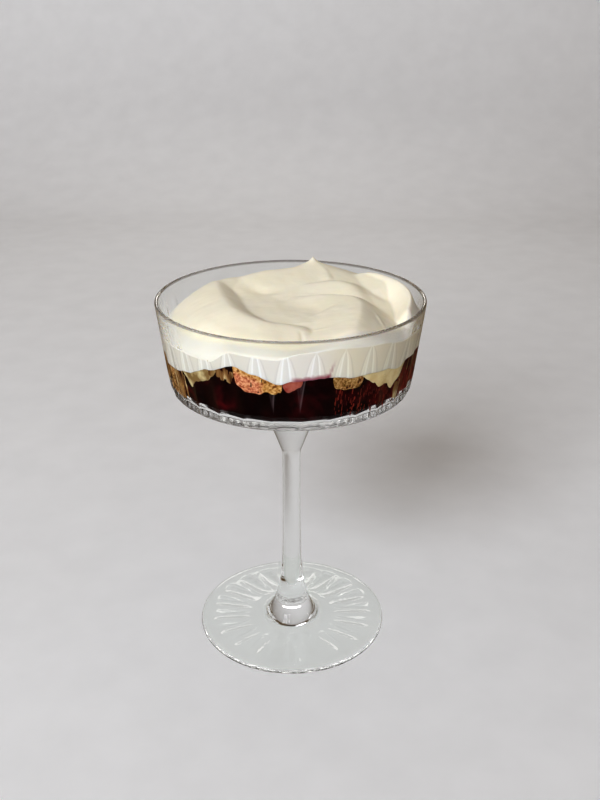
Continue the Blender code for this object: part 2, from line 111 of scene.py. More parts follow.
# Lobes of cream: slope on the left and on the right of the way, radius over which the crest is rounded,
# and the way of the crest (x, y, z).
LOBES = (
    (0.58, 0.45, 3.0, ((-30, 15, 148.0), (-28, 5, 148.2), (-26, -4, 148.3), (-23.5, -13.5, 148.3),
                       (-20, -21.5, 148.2), (-15.5, -27.5, 148.0), (-11, -31.5, 147.7), (-7, -33, 147.3),
                       (-2.5, -33, 146.6), (2.6, -33.5, 145.9))),
    (0.60, 0.34, 3.0, ((-30, 15, 148.0), (-27, 17.5, 148.0), (-23.5, 19.5, 148.0), (-18.5, 21.5, 147.6))),
    (0.60, 0.22, 3.0, ((-16.5, 20.5, 148.4), (-10, 22, 149.5), (-3, 23, 150.2), (3.5, 25, 150.8),
                       (8.7, 28.5, 151.9))),
    (0.90, 0.34, 2.2, ((8.7, 28.5, 151.9), (11.2, 25.5, 151.2), (13.5, 21.0, 150.4), (14.5, 16, 149.4))),
    (0.50, 0.42, 2.6, ((-0.5, 7.5, 146.6), (6, 9.2, 147.9), (13, 10, 148.8), (19, 9.4, 149.2),
                       (23, 6.5, 148.8), (25, 2.5, 147.8))),
    (0.62, 0.22, 1.8, ((3, -0.5, 146.0), (10, -2.5, 147.2), (17, -4.0, 148.1), (22.5, -6.5, 148.5),
                       (25, -13, 148.7), (25, -22, 148.6), (24, -30, 148.2), (22, -38, 147.2))),
    (0.60, 0.34, 3.0, ((14, 19, 148.6), (19.5, 21.5, 147.6), (24, 21.5, 147.8))),
    (1.60, 0.36, 2.0, ((24, 22.5, 147.6), (29, 21.5, 149.0), (34, 18, 149.0), (37.5, 13, 148.6))),
    (2.20, 1.25, 1.2, ((27, 22.2, 148.4), (31, 20.5, 149.9), (35, 17, 150.1), (39.5, 11, 150.0),
                       (43, 4.0, 149.6), (44.4, -3.5, 149.0), (44.2, -10, 148.0), (43, -16, 146.6))),
)
PEAK = (8.7, 28.8)
PEAK_HEIGHT = 2.2
PEAK_WIDTH = 1.3
SWELL = 0.45            # soft unevenness of the whole top
STREAK = 0.04           # fine streaks left by the spoon
# Small marks of the spoon: height, half width, and way.
MARKS = (
    (-0.8, 3.5, ((25, 12), (29, 4), (32, -5), (35, -15), (38, -26))),
    (-1.1, 3.2, ((-21, 22), (-17, 12.5), (-13.5, 7.5), (-9, 5.5), (-3.5, 8), (1, 12))),
    (0.5, 0.8, ((30.5, -18), (32, -24), (34, -31))),
    (0.25, 0.8, ((6, -33.5), (10, -34.2), (14, -34.4))),
    (-0.6, 0.8, ((3.6, -36), (4.2, -40), (4.8, -45))),
)

# Custard reaches the glass at its arms (middle, half width in degrees), down to an edge of its own.
CUSTARD_ARMS = ((-43.0, 12.5), (44.5, 16.0), (118.0, 14.0), (-160.0, 17.0))
CUSTARD_FOOT = ((-170, 125.5), (-54, 123.4), (-48.5, 121.6), (-44, 125.4), (-38, 126.6), (-34, 127.8),
                (31, 129.0), (35, 126.8), (39, 126.0), (42, 123.5), (45.5, 124.0), (51, 120.4), (56, 123.2),
                (60, 125.4), (108, 125.0), (130, 126.5))
# Pieces of sponge: (azimuth, low, high) of their edges.
SPONGES = {
    "sponge_front": ((-25, 132.0, 137.5), (-22, 127.4, 137.5), (-19, 125.7, 137.0), (-13.5, 124.9, 135.0),
                     (-9.5, 126.0, 133.5), (-4, 125.5, 132.5), (-1.8, 127.4, 131.5)),
    "sponge_right": ((17, 128.6, 133.5), (19.5, 126.2, 133.5), (25, 125.6, 133.0), (30, 125.4, 132.5),
                     (33, 128.4, 132.5)),
    "sponge_side": ((80, 124.0, 130.5), (86, 122.0, 131.5), (94, 121.0, 131.8), (103, 124.0, 131.0)),
    "sponge_back": ((142, 125.0, 131.0), (152, 122.5, 132.0), (164, 123.0, 132.0), (174, 126.5, 131.5)),
    "sponge_back_left": ((-134, 125.0, 131.0), (-124, 122.0, 132.0), (-112, 122.5, 132.5),
                         (-103, 126.0, 131.0)),
    "sponge_left": ((-90, 121.0, 129.5), (-80, 116.5, 130.0), (-66, 114.4, 129.0), (-57, 114.4, 129.0),
                    (-54, 118.0, 129.0)),
}
FRUIT_EDGES = ((-3.5, 128.4, 132.5), (-0.8, 126.8, 133.0), (2.0, 127.4, 133.5), (4.0, 128.8, 133.5),
               (6.0, 130.4, 133.0))


# ---------------------------------------------------------------- shapes

def along(stops, azimuth):
    """Values at azimuths of a closed round of (azimuth, value) stops, eased from one stop to the next."""
    stops = np.array(stops, float)
    start = stops[0, 0]
    turned = start + (np.asarray(azimuth, float) - start) % 360.0
    places = np.append(stops[:, 0], start + 360.0)
    values = np.append(stops[:, 1], stops[0, 1])
    at = np.clip(np.searchsorted(places, turned, "right") - 1, 0, len(stops) - 1)
    share = (turned - places[at]) / (places[at + 1] - places[at])
    return values[at] + (values[at + 1] - values[at]) * share * share * (3.0 - 2.0 * share)


def eased(x, low, high):
    """0 below low, 1 above high, and a smooth step between."""
    share = np.clip((x - low) / (high - low), 0.0, 1.0)
    return share * share * (3.0 - 2.0 * share)


def outer_wall(z):
    """Radius of the bowl's outside, before the flutes: a straight line from heel to lip."""
    slope = (RIM_RADIUS - HEEL_RADIUS) / (RIM_HEIGHT - LIP_RADIUS - HEEL_HEIGHT)
    return HEEL_RADIUS + slope * (z - HEEL_HEIGHT)


def inner_wall(z):
    """Radius of the bowl's inside: a straight line above the floor's fillet."""
    slope = (RIM_RADIUS - 2.0 * LIP_RADIUS - WALL_FOOT_RADIUS) / (RIM_HEIGHT - LIP_RADIUS - WALL_FOOT)
    return WALL_FOOT_RADIUS + slope * (z - WALL_FOOT)


def arc(centre, radius, first, last, steps):
    """Points (r, z) of an arc between two angles in degrees."""
    angle = np.radians(np.linspace(first, last, steps + 1))
    return np.c_[centre[0] + radius * np.cos(angle), centre[1] + radius * np.sin(angle)]


def straight(start, end, steps):
    """Points (r, z) of a straight run, its end left to the next piece of the outline."""
    share = np.linspace(0.0, 1.0, steps, endpoint=False)[:, None]
    return np.array(start) * (1.0 - share) + np.array(end) * share


def bend(start, corner, end, steps):
    """Points (r, z) of a quadratic curve that leaves and arrives along the corner's two sides."""
    share = np.linspace(0.0, 1.0, steps + 1)[:, None]
    return ((1 - share) ** 2 * np.array(start) + 2 * share * (1 - share) * np.array(corner)
            + share ** 2 * np.array(end))


def foot_profile():
    """Stem's flare into the foot: it widens exponentially towards the table, and the foot's flat cone cuts
    it off; a soft maximum joins the two."""
    z = np.linspace(FLARE_TOP, 8.5, 30)
    flare = np.c_[STEM_RADIUS + FLARE_SPREAD * np.exp(-z / FLARE_LENGTH), z]
    radius = np.concatenate([np.linspace(flare[-1, 0] + 0.25, 16.0, 18), np.linspace(16.8, 37.6, 30)])
    on_flare = -FLARE_LENGTH * np.log((radius - STEM_RADIUS) / FLARE_SPREAD)
    on_foot = FOOT_EDGE + 0.05 + 1.0 * np.exp(-(radius - 10.0) / 9.0)
    softness = 0.35
    top = softness * np.logaddexp(on_flare / softness, on_foot / softness)
    return np.concatenate([flare, np.c_[radius, top]])


def foot_dish():
    """Underside of the foot inside its ring: a paraboloid that rises to the middle."""
    radius = np.linspace(RING_RADIUS, 0.0, 14)
    return np.c_[radius, FOOT_DISH * (1.0 - (radius / RING_RADIUS) ** 2)]


def glass_profile():
    """Half outline (r, z) of the glass: over the floor, up inside, over the lip, down outside and stem, out
    over the foot, round its edge and back under it to the axis."""
    lip = (RIM_RADIUS - LIP_RADIUS, RIM_HEIGHT - LIP_RADIUS)
    heel = (HEEL_RADIUS - HEEL_FILLET + HEEL_SWELL, HEEL_HEIGHT + HEEL_FILLET)
    edge = (FOOT_RADIUS - FOOT_EDGE / 2, FOOT_EDGE / 2)
    wall_foot = (inner_wall(WALL_FOOT), WALL_FOOT)
    top_of_wall = (outer_wall(RIM_HEIGHT - LIP_RADIUS - 0.5), RIM_HEIGHT - LIP_RADIUS - 0.5)
    heel_start = arc(heel, HEEL_FILLET, -4.0, -90.0, 16)
    return np.concatenate([
        straight((0.0, FLOOR_HEIGHT), (FLOOR_EDGE, FLOOR_HEIGHT), 5),
        bend((FLOOR_EDGE, FLOOR_HEIGHT), (WALL_FOOT_RADIUS - 0.3, FLOOR_HEIGHT), wall_foot, 7),
        straight((inner_wall(119.0), 119.0), (inner_wall(lip[1]), lip[1]), 10),
        arc(lip, LIP_RADIUS, 180.0, 0.0, 12),
        straight(top_of_wall, tuple(heel_start[0]), 54),
        heel_start,
        straight((40.0, HEEL_HEIGHT - 0.12), (21.0, HEEL_HEIGHT - 0.9), 3),
        bend((20.0, HEEL_HEIGHT - 1.0), (15.0, HEEL_HEIGHT - 1.5), CONE_TOP, 10),
        bend(CONE_FOOT, (STEM_RADIUS, 80.9), (STEM_RADIUS, 78.4), 6),
        straight((STEM_RADIUS, 75.0), (STEM_RADIUS, FLARE_TOP + 1.0), 4),
        foot_profile(),
        arc(edge, FOOT_EDGE / 2, 90.0, -90.0, 12),
        straight((FOOT_RADIUS - 1.6, 0.0), (RING_RADIUS, 0.0), 2),
        foot_dish(),
    ])


def nearest_turn(azimuth, count, middle):
    """Degrees from azimuths to the nearest of a count of even places, one of them at middle."""
    pitch = 360.0 / count
    return (azimuth - middle + pitch / 2.0) % pitch - pitch / 2.0


def pressed(radius, z, azimuth):
    """The turned glass with its flutes and petals. A flute is the hollow of a wheel, a parabola across that
    sinks steadily from its pointed top; a petal is a parabola across and half a sine along. Soft minima
    round the edges where they leave the surface."""
    across = radius * np.radians(nearest_turn(azimuth, FLUTES, FLUTE_AZIMUTH))
    sunk = FLUTE_DEPTH * (FLUTE_TOP - z) / (FLUTE_TOP - FLUTE_DEEPEST) * eased(z, FLUTE_END, FLUTE_RUN_OUT)
    cut = outer_wall(z) - sunk + across ** 2 / (2.0 * FLUTE_WHEEL)
    outside = (z > HEEL_HEIGHT - 0.6) & (z < FLUTE_TOP + 1.0) & (radius > inner_wall(z) + 0.4)
    softness = 0.05
    over = np.clip((radius - cut) / softness, -30.0, 30.0)
    fluted = radius - softness * np.log1p(np.exp(over))
    new_radius = np.where(outside, fluted, radius)
    across = radius * np.radians(nearest_turn(azimuth, PETALS, PETAL_AZIMUTH))
    lengthways = np.clip((radius - PETAL_INNER) / (PETAL_OUTER - PETAL_INNER), 0.0, 1.0)
    bowed = np.clip(1 - (across / PETAL_HALF_WIDTH) ** 2, 0, 1)
    sunk = PETAL_DEPTH * np.sin(np.pi * lengthways) ** 0.8 * bowed
    on_foot = (z > FOOT_EDGE) & (z < 6.0)
    return new_radius, np.where(on_foot, z - sunk, z)


def closed_grid(points):
    """Vertices and faces of a closed grid (rows, columns, 3) in millimetres: columns go round, rows run from
    one pole to the other, and the first and last rows are single points. Faces are turned outward."""
    rows, columns = points.shape[:2]
    vertices = np.concatenate([points[0, :1], points[1:-1].reshape(-1, 3), points[-1, :1]])
    column = np.arange(columns)
    after = (column + 1) % columns
    row = np.arange(rows - 3)[:, None] * columns + 1
    quads = np.stack([row + column, row + columns + column, row + columns + after, row + after], -1)
    base = 1 + (rows - 3) * columns
    first_fan = np.stack([0 * column, 1 + column, 1 + after, 0 * column], -1)
    last_fan = np.stack([base + after, base + column, 0 * column + len(vertices) - 1, base + after], -1)
    faces = np.concatenate([first_fan, quads.reshape(-1, 4), last_fan])
    corner = [vertices[faces[:, i]] for i in range(4)]
    volume = (np.sum(corner[0] * np.cross(corner[1], corner[2]))
              + np.sum(corner[0] * np.cross(corner[2], corner[3])))
    return vertices, faces if volume > 0 else faces[:, ::-1]


def new_mesh(name, parts):
    """Smooth mesh of closed grids, in metres; the fans' doubled corners become triangles."""
    vertices, faces, start = [], [], 0
    for part_vertices, part_faces in parts:
        vertices.append(part_vertices)
        faces += [list(dict.fromkeys(face)) for face in (part_faces + start).tolist()]
        start += len(part_vertices)
    mesh = bpy.data.meshes.new(name)
    mesh.from_pydata(np.concatenate(vertices) * MM, [], faces)
    mesh.shade_smooth()
    return mesh


def grid_mesh(name, points):
    """Mesh of one closed grid."""
    return new_mesh(name, [closed_grid(points)])


def turned_points(radius, z, azimuth):
    """Points at radii, heights and azimuths."""
    angle = np.radians(azimuth)
    return np.stack([radius * np.sin(angle), -radius * np.cos(angle), z + 0.0 * angle], -1)


def rough(x, y, z, seed):
    """Smooth value noise from -1 to 1 on a unit lattice: hashed corners, eased between."""
    cell = [np.floor(v).astype(np.int64) for v in (x, y, z)]
    part = [v - c for v, c in zip((x, y, z), cell)]
    ease = [p * p * (3 - 2 * p) for p in part]
    total = 0.0
    for i in (0, 1):
        for j in (0, 1):
            for k in (0, 1):
                mixed = (cell[0] + i) * 73856093 ^ (cell[1] + j) * 19349663 ^ (cell[2] + k) * 83492791
                mixed = (mixed ^ (seed * 2654435761)) & 0xFFFFFFFF
                mixed = ((mixed ^ (mixed >> 15)) * 0x2C1B3C6D) & 0xFFFFFFFF
                mixed = ((mixed ^ (mixed >> 12)) * 0x297A2D39) & 0xFFFFFFFF
                value = ((mixed ^ (mixed >> 15)) & 0xFFFF) / 32767.5 - 1.0
                weight = ((ease[0] if i else 1 - ease[0]) * (ease[1] if j else 1 - ease[1])
                          * (ease[2] if k else 1 - ease[2]))
                total = total + value * weight
    return total


def layered(points, size, seed, octaves=3):
    """Value noise in octaves, its largest lumps size millimetres across."""
    total, weight = 0.0, 1.0
    for octave in range(octaves):
        scaled = points * (2.0 ** octave / size)
        total = total + weight * rough(scaled[..., 0], scaled[..., 1], scaled[..., 2], seed + octave)
        weight *= 0.5
    return total / 1.75


# ---------------------------------------------------------------- materials

def linear(hex_colour):
    """sRGB hex to linear RGBA."""
    values = [int(hex_colour[i:i + 2], 16) / 255 for i in (1, 3, 5)]
    return tuple(v / 12.92 if v <= 0.04045 else ((v + 0.055) / 1.055) ** 2.4 for v in values) + (1.0,)


def add(tree, kind, inputs=None, stops=(), **settings):
    """One node of a kind with its settings; an input is a value, or a socket to link from, and stops are a
    colour ramp's (place, hex colour)."""
    made = tree.nodes.new(kind)
    for name, value in settings.items():
        setattr(made, name, value)
    for name, value in (inputs or {}).items():
        if isinstance(value, bpy.types.NodeSocket):
            tree.links.new(value, made.inputs[name])
        else:
            made.inputs[name].default_value = value
    for i, (place, colour) in enumerate(stops):
        element = made.color_ramp.elements[i] if i < 2 else made.color_ramp.elements.new(place)
        element.position = place
        element.color = linear(colour)
    return made


def start_material(name):
    """Empty node material with its output and the piece's Object coordinates."""
    made = bpy.data.materials.new(name)
    made.use_nodes = True
    made.node_tree.nodes.clear()
    output = made.node_tree.nodes.new("ShaderNodeOutputMaterial")
    where = add(made.node_tree, "ShaderNodeTexCoord").outputs["Object"]
    return made, made.node_tree, output, where


def across_flute(tree, where):
    """Socket of how far a point on the wall lies across its flute: 0.1 and 0.9 at the flute's edges, 0.5 in
    its middle, from the azimuth and from the flute's half width, a parabola down from its tip."""
    axis = add(tree, "ShaderNodeSeparateXYZ", {0: where})
    front = add(tree, "ShaderNodeMath", {0: axis.outputs["Y"], 1: -1.0}, operation="MULTIPLY")
    turn = add(tree, "ShaderNodeMath", {0: axis.outputs["X"], 1: front.outputs[0]}, operation="ARCTAN2")
    pitch = 2.0 * math.pi / FLUTES
    shift = 0.5 - math.radians(FLUTE_AZIMUTH) / pitch
    turns = add(tree, "ShaderNodeMath", {0: turn.outputs[0], 1: 1.0 / pitch, 2: shift},
                operation="MULTIPLY_ADD")
    share = add(tree, "ShaderNodeMath", {0: turns.outputs[0]}, operation="FRACT")
    across = add(tree, "ShaderNodeMath", {0: share.outputs[0], 1: 0.5}, operation="SUBTRACT")
    depth = add(tree, "ShaderNodeMath", {0: FLUTE_TOP * MM, 1: axis.outputs["Z"]}, operation="SUBTRACT")
    held = add(tree, "ShaderNodeMath", {0: depth.outputs[0], 1: 0.0001}, operation="MAXIMUM")
    widths = (2.0 * FLUTE_WHEEL * FLUTE_DEPTH / (FLUTE_TOP - FLUTE_DEEPEST)) / MM
    square = add(tree, "ShaderNodeMath", {0: held.outputs[0], 1: widths}, operation="MULTIPLY")
    half = add(tree, "ShaderNodeMath", {0: square.outputs[0]}, operation="SQRT")
    length = pitch * inner_wall(130.0)
    scaled = add(tree, "ShaderNodeMath", {0: across.outputs[0], 1: 0.4 * length}, operation="MULTIPLY")
    ratio = add(tree, "ShaderNodeMath", {0: scaled.outputs[0], 1: half.outputs[0]}, operation="DIVIDE")
    return add(tree, "ShaderNodeMath", {0: ratio.outputs[0], 1: 0.5}, operation="ADD").outputs[0]


def pressed_glass():
    """Soda-lime glass, pressed and fire-polished: clear, and smooth but for the mould's faint waves and a
    slight roughness in the thick heel. The lip is painted a darker tone, a painted shade for the dark line
    that it shows as it looks across thick glass. Light on its way to a matte surface goes straight through,
    so that no grainy caustics fall behind it."""
    made, tree, output, where = start_material("pressed_soda_lime_glass")
    waves = add(tree, "ShaderNodeTexNoise", {"Vector": where, "Scale": 170.0, "Detail": 1.0})
    relief = add(tree, "ShaderNodeBump", {
        "Strength": 0.06, "Distance": 0.0004, "Height": waves.outputs["Fac"]})
    axis = add(tree, "ShaderNodeSeparateXYZ", {0: where})
    below = add(tree, "ShaderNodeMapRange", {
        "Value": axis.outputs["Z"], "From Min": 0.1145, "From Max": 0.1125, "To Max": 0.12})
    above = add(tree, "ShaderNodeMapRange", {
        "Value": axis.outputs["Z"], "From Min": 0.104, "From Max": 0.109})
    heel = add(tree, "ShaderNodeMath", {0: below.outputs["Result"], 1: above.outputs["Result"]},
               operation="MULTIPLY")
    lip = add(tree, "ShaderNodeMapRange", {"Value": axis.outputs["Z"], "From Min": (RIM_HEIGHT - 1.0) * MM,
                                           "From Max": (RIM_HEIGHT - 0.5) * MM})
    # Painted shade: the lip's darker tone stands in for the dark line it shows seen edge on.
    tone = add(tree, "ShaderNodeMix", {0: lip.outputs["Result"], 6: linear("#FDFEFD"), 7: linear("#928C88")},
               data_type="RGBA")
    shader = add(tree, "ShaderNodeBsdfPrincipled", {
        "Base Color": tone.outputs[2], "Roughness": heel.outputs[0], "IOR": 1.51,
        "Transmission Weight": 1.0, "Specular Tint": linear("#707070"), "Normal": relief.outputs["Normal"]})
    clear = add(tree, "ShaderNodeBsdfTransparent", {"Color": linear("#FCFDFC")})
    path = add(tree, "ShaderNodeLightPath")
    straight_on = add(tree, "ShaderNodeMath", {
        0: path.outputs["Is Shadow Ray"], 1: path.outputs["Is Diffuse Ray"]}, operation="MAXIMUM")
    mixed = add(tree, "ShaderNodeMixShader", {
        0: straight_on.outputs[0], 1: shader.outputs["BSDF"], 2: clear.outputs["BSDF"]})
    tree.links.new(mixed.outputs["Shader"], output.inputs["Surface"])
    return made


def whipped_cream():
    """Double cream, softly whipped: opaque ivory fat foam, satin, with light that sinks in a little. Pressed
    on the glass it looks cooler, with painted light from the flutes: a painted highlight under each flute,
    painted shade at the flutes' edges, and painted shade that dulls it towards the left. Its rounded
    shoulder behind the glass is darkened by painted shade, and a trace of juice stains it pink."""
    made, tree, output, where = start_material("softly_whipped_cream")
    patches = add(tree, "ShaderNodeTexNoise", {"Vector": where, "Scale": 60.0, "Detail": 2.0})
    ivory = add(tree, "ShaderNodeValToRGB", {"Fac": patches.outputs["Fac"]}, (
        (0.3, "#FCF3DC"), (0.7, "#FEF6E3")))
    # Painted light from the flutes: painted highlights under each flute, painted shade at its edges.
    flutes = add(tree, "ShaderNodeValToRGB", {"Fac": across_flute(tree, where)}, (
        (0.0, "#EAE6E0"), (0.10, "#E2DEDA"), (0.14, "#F4F2EE"), (0.24, "#F2F0EC"), (0.31, "#FFFFFF"),
        (0.38, "#ECEAE6"), (0.62, "#E8E5E1"), (0.69, "#FFFFFE"), (0.77, "#F0EDE9"), (0.87, "#EFEBE7"),
        (0.91, "#DEDAD5"), (1.0, "#EAE6E0")))
    axis = add(tree, "ShaderNodeSeparateXYZ", {0: where})
    # Painted shade: the face on the glass is duller towards the left and brightest at the right.
    side_shade_share = add(tree, "ShaderNodeMapRange", {
        "Value": axis.outputs["X"], "From Min": -0.03, "From Max": 0.03})
    tone = add(tree, "ShaderNodeValToRGB", {"Fac": side_shade_share.outputs["Result"]}, (
        (0.0, "#EFEEE8"), (0.2, "#EFEFEC"), (0.45, "#F8F8F8"), (0.62, "#FAF9F8"), (0.85, "#FFFBEC")))
    painted_contact_shading = add(tree, "ShaderNodeMix", {0: 1.0, 6: flutes.outputs["Color"], 7: tone.outputs["Color"]},
                  data_type="RGBA", blend_type="MULTIPLY")
    pressed_on = add(tree, "ShaderNodeVertexColor", layer_name="on_glass")
    # Painted shade: the shoulder near the glass is mixed towards a greyer ivory.
    shoulder = add(tree, "ShaderNodeVertexColor", layer_name="shoulder")
    shaded = add(tree, "ShaderNodeMix", {0: shoulder.outputs["Color"], 6: ivory.outputs["Color"],
                                         7: linear("#EFEBE2")}, data_type="RGBA")
    face = add(tree, "ShaderNodeMix", {0: pressed_on.outputs["Color"], 6: shaded.outputs[2],
                                       7: painted_contact_shading.outputs[2]}, data_type="RGBA")
    smear = add(tree, "ShaderNodeVertexColor", layer_name="smear")
    tinted = add(tree, "ShaderNodeMix", {0: smear.outputs["Color"], 6: face.outputs[2], 7: linear("#9C3552")},
                 data_type="RGBA")
    foam = add(tree, "ShaderNodeTexNoise", {"Vector": where, "Scale": 900.0, "Detail": 2.0})
    relief = add(tree, "ShaderNodeBump", {
        "Strength": 0.12, "Distance": 0.0002, "Height": foam.outputs["Fac"]})
    shader = add(tree, "ShaderNodeBsdfPrincipled", {
        "Base Color": tinted.outputs[2], "Roughness": 0.5, "IOR": 1.4, "Specular IOR Level": 0.3,
        "Subsurface Weight": 0.35, "Subsurface Radius": (0.004, 0.0032, 0.0022), "Subsurface Scale": 1.0,
        "Normal": relief.outputs["Normal"]})
    tree.links.new(shader.outputs["BSDF"], output.inputs["Surface"])
    return made


def berry_compote():
    """Stewed dark berries in gelled juice, wet: almost black where deep, wine red where thin, and redder
    towards the right side. Its point colour says where the lands between the flutes get painted highlights."""
    made, tree, output, where = start_material("stewed_berry_compote")
    lumps = add(tree, "ShaderNodeTexNoise", {
        "Vector": where, "Scale": 90.0, "Detail": 5.0, "Distortion": 1.2})
    juice = add(tree, "ShaderNodeValToRGB", {"Fac": lumps.outputs["Fac"]}, (
        (0.36, "#0A0001"), (0.50, "#180203"), (0.60, "#2E0407"), (0.75, "#4C080D")))
    thin = add(tree, "ShaderNodeValToRGB", {"Fac": lumps.outputs["Fac"]}, (
        (0.36, "#240408"), (0.50, "#48080C"), (0.60, "#6C1212"), (0.75, "#922A1C")))
    axis = add(tree, "ShaderNodeSeparateXYZ", {0: where})
    rightward = add(tree, "ShaderNodeMapRange", {
        "Value": axis.outputs["X"], "From Min": 0.026, "From Max": 0.039})
    depth = add(tree, "ShaderNodeMix", {0: rightward.outputs["Result"], 6: juice.outputs["Color"],
                                        7: thin.outputs["Color"]}, data_type="RGBA")
    # Painted highlights and reflections of the lands between the flutes, added to the juice's colour.
    lands = add(tree, "ShaderNodeValToRGB", {"Fac": across_flute(tree, where)}, (
        (0.0, "#3A3032"), (0.06, "#2A2022"), (0.10, "#54484A"), (0.13, "#000000"), (0.87, "#000000"),
        (0.90, "#2E2426"), (0.95, "#1C1416"), (1.0, "#2A2224")))
    painted_land_highlights = add(tree, "ShaderNodeVertexColor", layer_name="lands")
    colour = add(tree, "ShaderNodeMix", {0: painted_land_highlights.outputs["Color"], 6: depth.outputs[2],
                                         7: lands.outputs["Color"]}, data_type="RGBA", blend_type="ADD")
    shader = add(tree, "ShaderNodeBsdfPrincipled", {
        "Base Color": colour.outputs[2], "Roughness": 0.4, "IOR": 1.38, "Specular IOR Level": 0.05})
    tree.links.new(shader.outputs["BSDF"], output.inputs["Surface"])
    return made


def set_custard():
    """Egg custard, set: smooth pale yellow, slightly translucent, and mixed with crumbs of soaked sponge in
    its left arm."""
    made, tree, output, where = start_material("set_egg_custard")
    patches = add(tree, "ShaderNodeTexNoise", {"Vector": where, "Scale": 220.0, "Detail": 2.0})
    clean = add(tree, "ShaderNodeValToRGB", {"Fac": patches.outputs["Fac"]}, (
        (0.35, "#E2CA96"), (0.65, "#F4E2B6")))
    mixed = add(tree, "ShaderNodeValToRGB", {"Fac": patches.outputs["Fac"]}, (
        (0.40, "#8A7048"), (0.60, "#D0C094")))
    axis = add(tree, "ShaderNodeSeparateXYZ", {0: where})
    left = add(tree, "ShaderNodeMapRange", {
        "Value": axis.outputs["X"], "From Min": -0.02, "From Max": -0.026})
    colour = add(tree, "ShaderNodeMix", {0: left.outputs["Result"], 6: clean.outputs["Color"],
                                         7: mixed.outputs["Color"]}, data_type="RGBA")
    shader = add(tree, "ShaderNodeBsdfPrincipled", {
        "Base Color": colour.outputs[2], "Roughness": 0.35, "IOR": 1.4, "Specular IOR Level": 0.1,
        "Subsurface Weight": 0.2, "Subsurface Radius": (0.003, 0.002, 0.001), "Subsurface Scale": 1.0})
    tree.links.new(shader.outputs["BSDF"], output.inputs["Surface"])
    return made


def soaked_sponge(name, tones):
    """Sponge cake with an open crumb, its pores darkened by painted shade: of its own four tones from dark to
    light where custard has soaked in, and coral where juice has, which its point colour says."""
    made, tree, output, where = start_material(name)
    grain = add(tree, "ShaderNodeTexNoise", {"Vector": where, "Scale": 1300.0, "Detail": 3.0})
    # Painted shade in the pores: the tones are darkest at the cells of the crumb, over its real random grain.
    pores = add(tree, "ShaderNodeTexVoronoi", {"Vector": where, "Scale": 680.0})
    crumb = add(tree, "ShaderNodeMath", {0: pores.outputs["Distance"], 1: 0.32, 2: grain.outputs["Fac"]},
                operation="MULTIPLY_ADD")
    places = (0.46, 0.56, 0.68, 0.86)
    dry = add(tree, "ShaderNodeValToRGB", {"Fac": crumb.outputs[0]}, tuple(zip(places, tones)))
    wet = add(tree, "ShaderNodeValToRGB", {"Fac": crumb.outputs[0]},
              tuple(zip(places, ("#8A4430", "#B4664A", "#CC8664", "#E4AC86"))))
    soak = add(tree, "ShaderNodeVertexColor", layer_name="soak")
    patches = add(tree, "ShaderNodeTexNoise", {"Vector": where, "Scale": 300.0, "Detail": 1.0})
    uneven = add(tree, "ShaderNodeMath", {0: patches.outputs["Fac"], 1: 0.9, 2: -0.45},
                 operation="MULTIPLY_ADD")
    share = add(tree, "ShaderNodeMath", {0: soak.outputs["Color"], 1: uneven.outputs[0]}, operation="ADD",
                use_clamp=True)
    colour = add(tree, "ShaderNodeMix", {0: share.outputs[0], 6: dry.outputs["Color"],
                                         7: wet.outputs["Color"]}, data_type="RGBA")
    shader = add(tree, "ShaderNodeBsdfPrincipled", {
        "Base Color": colour.outputs[2], "Roughness": 0.8, "Specular IOR Level": 0.1})
    tree.links.new(shader.outputs["BSDF"], output.inputs["Surface"])
    return made


def steeped_shreds():
    """Shreds of sponge steeped in juice and custard: from dark brown to dull yellow, one tone to a shred."""
    made, tree, output, where = start_material("steeped_sponge_shreds")
    narrow = add(tree, "ShaderNodeMapping", {"Vector": where, "Scale": (420.0, 420.0, 60.0)})
    tone = add(tree, "ShaderNodeTexNoise", {"Vector": narrow.outputs["Vector"], "Scale": 1.0, "Detail": 2.0})
    colour = add(tree, "ShaderNodeValToRGB", {"Fac": tone.outputs["Fac"]}, (
        (0.34, "#3A1C0C"), (0.46, "#74502C"), (0.56, "#967448"), (0.68, "#D8C498")))
    shader = add(tree, "ShaderNodeBsdfPrincipled", {
        "Base Color": colour.outputs["Color"], "Roughness": 0.6, "Specular IOR Level": 0.1})
    tree.links.new(shader.outputs["BSDF"], output.inputs["Surface"])
    return made


def stewed_fruit(name, dark, light):
    """Stewed red fruit: wet flesh with fine fibres, between a dark and a light tone."""
    made, tree, output, where = start_material(name)
    fibres = add(tree, "ShaderNodeTexNoise", {"Vector": where, "Scale": 300.0, "Detail": 2.0})
    colour = add(tree, "ShaderNodeValToRGB", {"Fac": fibres.outputs["Fac"]}, ((0.35, dark), (0.65, light)))
    shader = add(tree, "ShaderNodeBsdfPrincipled", {
        "Base Color": colour.outputs["Color"], "Roughness": 0.3, "Specular IOR Level": 0.1,
        "Subsurface Weight": 0.2, "Subsurface Radius": (0.003, 0.001, 0.0005), "Subsurface Scale": 1.0})
    tree.links.new(shader.outputs["BSDF"], output.inputs["Surface"])
    return made


def matte_floor():
    """Plain pale board, matte."""
    made, tree, output, where = start_material("matte_pale_board")
    tooth = add(tree, "ShaderNodeTexNoise", {"Vector": where, "Scale": 40.0, "Detail": 3.0})
    colour = add(tree, "ShaderNodeValToRGB", {"Fac": tooth.outputs["Fac"]}, (
        (0.3, "#F0F1F2"), (0.7, "#F4F5F6")))
    shader = add(tree, "ShaderNodeBsdfPrincipled", {"Base Color": colour.outputs["Color"], "Roughness": 0.7})
    tree.links.new(shader.outputs["BSDF"], output.inputs["Surface"])
    return made


# ---------------------------------------------------------------- pieces

def add_piece(name, mesh, material, slot, *nodes):
    """Object of a finished mesh on the body, in place of the CAD nodes named."""
    mesh.materials.append(material)
    piece = bpy.data.objects.new(name, mesh)
    bpy.context.scene.collection.objects.link(piece)
    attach(piece, "root")
    if nodes:
        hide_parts(*nodes)
    return piece


